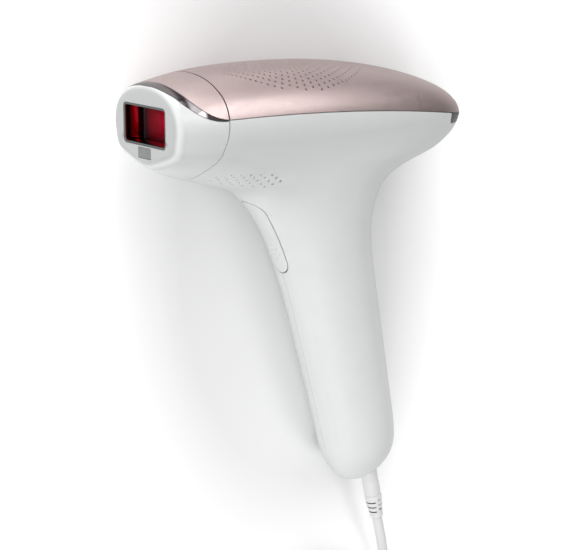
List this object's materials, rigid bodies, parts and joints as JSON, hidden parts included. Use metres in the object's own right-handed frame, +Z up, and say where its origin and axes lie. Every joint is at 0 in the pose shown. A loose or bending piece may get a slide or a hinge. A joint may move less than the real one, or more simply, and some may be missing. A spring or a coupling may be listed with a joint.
{
  "type": "ipl hair remover",
  "caption": "Pistol-shaped pulsed-light hair remover lying on its side: vented head, pull-off window attachment, trigger in the grip, and a lead to a wall adapter.",
  "frame": {"origin": "centre of the underside of the box round the handset without its lead, on the surface it lies on", "axes": "+X along the head from the treatment face to the tail, +Y from the foot of the grip to the head, +Z up, away from the surface"},
  "size_m": [0.1611, 0.3053, 0.0551],
  "materials": {
    "white_shell": "satin gloss moulded ABS",
    "rose_cover": "metallic rose lacquer, satin",
    "chrome_trim": "mirror chrome plating",
    "dark_panel": "dark grey gloss plastic",
    "light_lens": "translucent diffuser",
    "inner_plastic": "fine texture",
    "black_plastic": "fine texture",
    "trigger_plastic": "satin gloss moulded ABS",
    "window_metal": "polished, dark rim",
    "sensor_window": "grey smoked window",
    "filter_glass": "polished red cut-off filter",
    "lamp_glass": "clear quartz",
    "steel": "plain",
    "bright_aluminium": "polished",
    "gold_contact": "gold flash",
    "circuit_board": "green solder mask",
    "component_case": "moulded packages",
    "capacitor_sleeve": "shrink sleeve",
    "transformer_core": "ferrite core with taped coil",
    "lead_insulation": "silicone insulation",
    "cord_jacket": "smooth white PVC",
    "tie_plastic": "soft strap",
    "adapter_shell": "fine satin moulding",
    "pin_metal": "nickel plated"
  },
  "bodies": {
    "handset": {"left_housing": "white_shell", "right_housing": "white_shell", "top_cover": "rose_cover", "rear_panel": "dark_panel", "status_lights": "light_lens", "front_bulkhead": "inner_plastic", "bulkhead_screws": "steel", "contact_pins": "gold_contact", "lamp_frame": "inner_plastic", "filter_glass": "filter_glass", "flash_lamp": "lamp_glass", "lamp_electrodes": "steel", "lamp_reflector": "bright_aluminium", "lamp_leads": "lead_insulation", "air_duct": "inner_plastic", "fan_frame": "black_plastic", "flash_capacitor": "capacitor_sleeve", "capacitor_clamp": "black_plastic", "main_board": "circuit_board", "board_components": "component_case", "charge_transformer": "transformer_core", "control_board": "circuit_board", "button_switch": "black_plastic", "switch_bracket": "inner_plastic", "trigger_switch": "black_plastic", "trigger_spring": "steel", "trigger_pin": "steel", "dc_socket": "black_plastic", "housing_screws": "steel", "cord_plug": "cord_jacket", "strain_relief": "cord_jacket", "power_cord": "cord_jacket", "cord_coil": "cord_jacket", "cord_tie": "tie_plastic", "adapter_cord": "cord_jacket", "adapter_relief": "cord_jacket", "adapter_body": "adapter_shell", "mains_pins": "pin_metal"},
    "attachment": {"attachment_shell": "white_shell", "attachment_cover": "rose_cover", "chrome_trim": "chrome_trim", "window_frame": "window_metal", "skin_sensor": "sensor_window", "sensor_board": "circuit_board", "contact_block": "black_plastic", "attachment_latches": "inner_plastic"},
    "trigger": {"flash_trigger": "trigger_plastic"},
    "plunger": {"switch_plunger": "black_plastic"},
    "button": {"power_button": "dark_panel"},
    "rotor": {"fan_rotor": "black_plastic"}
  },
  "joints": [
    {"name": "attachment_pull", "type": "slide", "parent": "handset", "child": "attachment", "axis": [-0.9978, 0, 0.0663], "range_m": [0, 0.03]},
    {"name": "trigger_press", "type": "hinge", "parent": "handset", "child": "trigger", "pos_m": [-0.02367, 0.03136, 0.02427], "axis": [0.0662, -0.0558, 0.9962], "range_deg": [0, 4.2], "stiffness_Nm_per_rad": 0.4, "deforming": ["trigger_spring"]},
    {"name": "plunger_press", "type": "slide", "parent": "handset", "child": "plunger", "axis": [0.8642, 0.5022, -0.0293], "range_m": [0, 0.0016]},
    {"name": "button_press", "type": "slide", "parent": "handset", "child": "button", "axis": [-0.9978, 0, 0.0663], "range_m": [0, 0.0008], "stiffness_N_per_m": 2500},
    {"name": "fan_spin", "type": "hinge", "parent": "handset", "child": "rotor", "pos_m": [-0.02951, 0.0705, 0.02685], "axis": [0.9978, 0, -0.0663], "continuous": true}
  ],
  "couplings": [
    {"joint": "plunger_press", "follows": "trigger_press", "m_per_rad": 0.0213}
  ]
}
